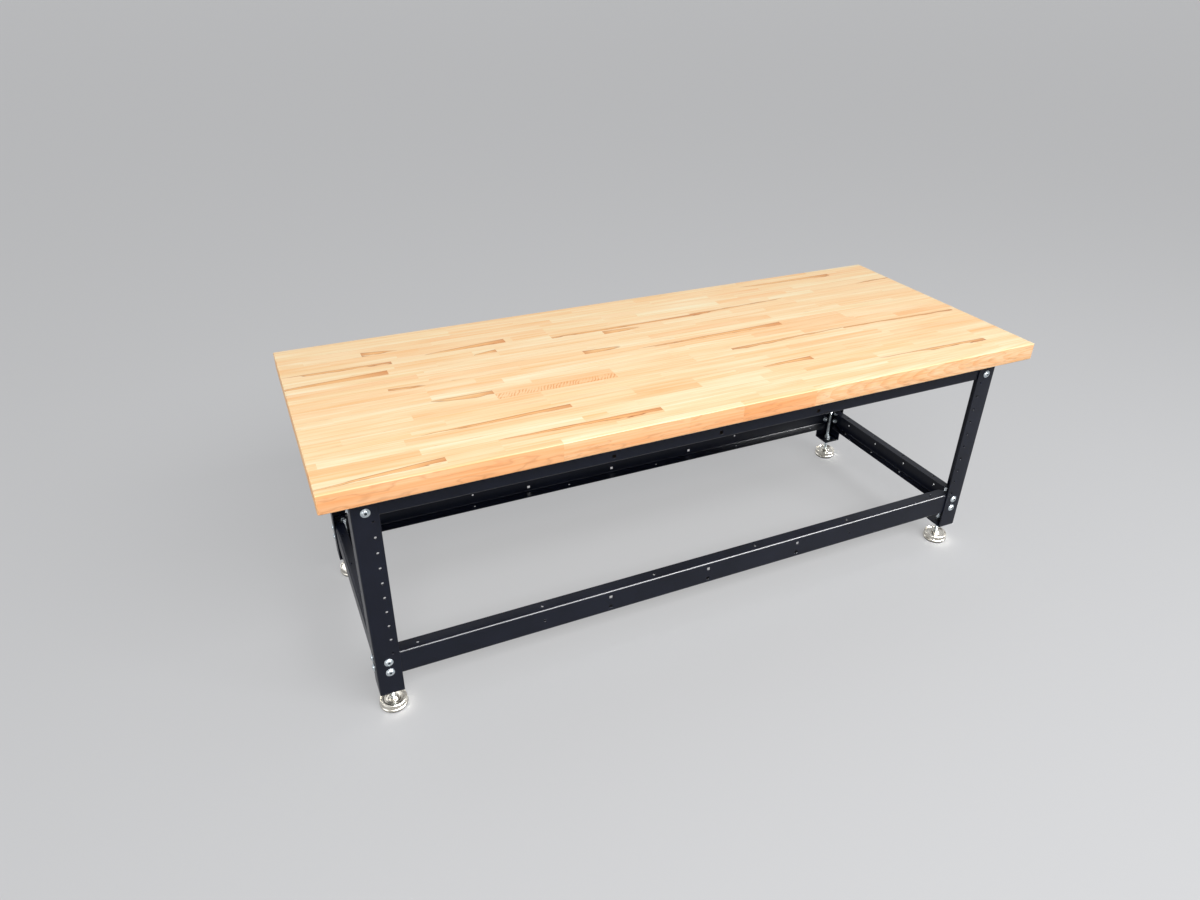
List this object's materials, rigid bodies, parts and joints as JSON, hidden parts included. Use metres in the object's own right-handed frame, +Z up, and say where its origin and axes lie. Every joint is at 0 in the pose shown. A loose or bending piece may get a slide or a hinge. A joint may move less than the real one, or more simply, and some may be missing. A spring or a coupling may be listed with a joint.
{
  "type": "assembly table",
  "caption": "Long low assembly table: hardwood butcher-block top on a bolted frame of bent black sheet steel with screw levelling feet.",
  "frame": {"origin": "on the floor under the centre of the top", "axes": "+X along the length, to the right seen from the front; +Y to the back; +Z up"},
  "size_m": [1.8288, 0.7112, 0.6532],
  "materials": {
    "maple": "oiled satin edge-grain staves",
    "powder_coat": "satin black powder coat",
    "zinc": "bright zinc plate",
    "plated": "warm bright nickel plate, turned",
    "rubber": "matt moulded rubber"
  },
  "bodies": {
    "frame": {"butcher_block_top": "maple", "leg_front_left": "powder_coat", "leg_front_right": "powder_coat", "leg_back_right": "powder_coat", "leg_back_left": "powder_coat", "foot_plate_front_left": "powder_coat", "foot_plate_front_right": "powder_coat", "foot_plate_back_right": "powder_coat", "foot_plate_back_left": "powder_coat", "lower_stringer_front": "powder_coat", "lower_stringer_right": "powder_coat", "lower_stringer_back": "powder_coat", "lower_stringer_left": "powder_coat", "upper_rail_front": "powder_coat", "upper_rail_right": "powder_coat", "upper_rail_back": "powder_coat", "upper_rail_left": "powder_coat", "bolt_front_left_a_top": "zinc", "bolt_front_left_a_mid": "zinc", "bolt_front_left_a_low": "zinc", "bolt_front_left_b_top": "zinc", "bolt_front_left_b_mid": "zinc", "bolt_front_left_b_low": "zinc", "bolt_front_right_a_top": "zinc", "bolt_front_right_a_mid": "zinc", "bolt_front_right_a_low": "zinc", "bolt_front_right_b_top": "zinc", "bolt_front_right_b_mid": "zinc", "bolt_front_right_b_low": "zinc", "bolt_back_right_a_top": "zinc", "bolt_back_right_a_mid": "zinc", "bolt_back_right_a_low": "zinc", "bolt_back_right_b_top": "zinc", "bolt_back_right_b_mid": "zinc", "bolt_back_right_b_low": "zinc", "bolt_back_left_a_top": "zinc", "bolt_back_left_a_mid": "zinc", "bolt_back_left_a_low": "zinc", "bolt_back_left_b_top": "zinc", "bolt_back_left_b_mid": "zinc", "bolt_back_left_b_low": "zinc", "foot_nut_front_left": "zinc", "foot_nut_front_right": "zinc", "foot_nut_back_right": "zinc", "foot_nut_back_left": "zinc"},
    "front_left_foot": {"foot_base_front_left": "plated", "foot_pad_front_left": "rubber"},
    "front_left_stud": {"foot_stud_front_left": "zinc"},
    "front_right_foot": {"foot_base_front_right": "plated", "foot_pad_front_right": "rubber"},
    "front_right_stud": {"foot_stud_front_right": "zinc"},
    "back_right_foot": {"foot_base_back_right": "plated", "foot_pad_back_right": "rubber"},
    "back_right_stud": {"foot_stud_back_right": "zinc"},
    "back_left_foot": {"foot_base_back_left": "plated", "foot_pad_back_left": "rubber"},
    "back_left_stud": {"foot_stud_back_left": "zinc"}
  },
  "joints": [
    {"name": "front_left_foot_height", "type": "slide", "parent": "frame", "child": "front_left_foot", "axis": [0, 0, 1], "range_m": [-0.095, 0.03]},
    {"name": "front_left_stud_turn", "type": "hinge", "parent": "front_left_foot", "child": "front_left_stud", "pos_m": [-0.8225, -0.276, 0.04], "axis": [0, 0, 1], "continuous": true},
    {"name": "front_right_foot_height", "type": "slide", "parent": "frame", "child": "front_right_foot", "axis": [0, 0, 1], "range_m": [-0.095, 0.03]},
    {"name": "front_right_stud_turn", "type": "hinge", "parent": "front_right_foot", "child": "front_right_stud", "pos_m": [0.8225, -0.276, 0.04], "axis": [0, 0, 1], "continuous": true},
    {"name": "back_right_foot_height", "type": "slide", "parent": "frame", "child": "back_right_foot", "axis": [0, 0, 1], "range_m": [-0.095, 0.03]},
    {"name": "back_right_stud_turn", "type": "hinge", "parent": "back_right_foot", "child": "back_right_stud", "pos_m": [0.8225, 0.264, 0.04], "axis": [0, 0, 1], "continuous": true},
    {"name": "back_left_foot_height", "type": "slide", "parent": "frame", "child": "back_left_foot", "axis": [0, 0, 1], "range_m": [-0.095, 0.03]},
    {"name": "back_left_stud_turn", "type": "hinge", "parent": "back_left_foot", "child": "back_left_stud", "pos_m": [-0.8225, 0.264, 0.04], "axis": [0, 0, 1], "continuous": true}
  ],
  "couplings": [
    {"joint": "front_left_stud_turn", "follows": "front_left_foot_height", "rad_per_m": 4188.8},
    {"joint": "front_right_stud_turn", "follows": "front_right_foot_height", "rad_per_m": 4188.8},
    {"joint": "back_right_stud_turn", "follows": "back_right_foot_height", "rad_per_m": 4188.8},
    {"joint": "back_left_stud_turn", "follows": "back_left_foot_height", "rad_per_m": 4188.8}
  ]
}
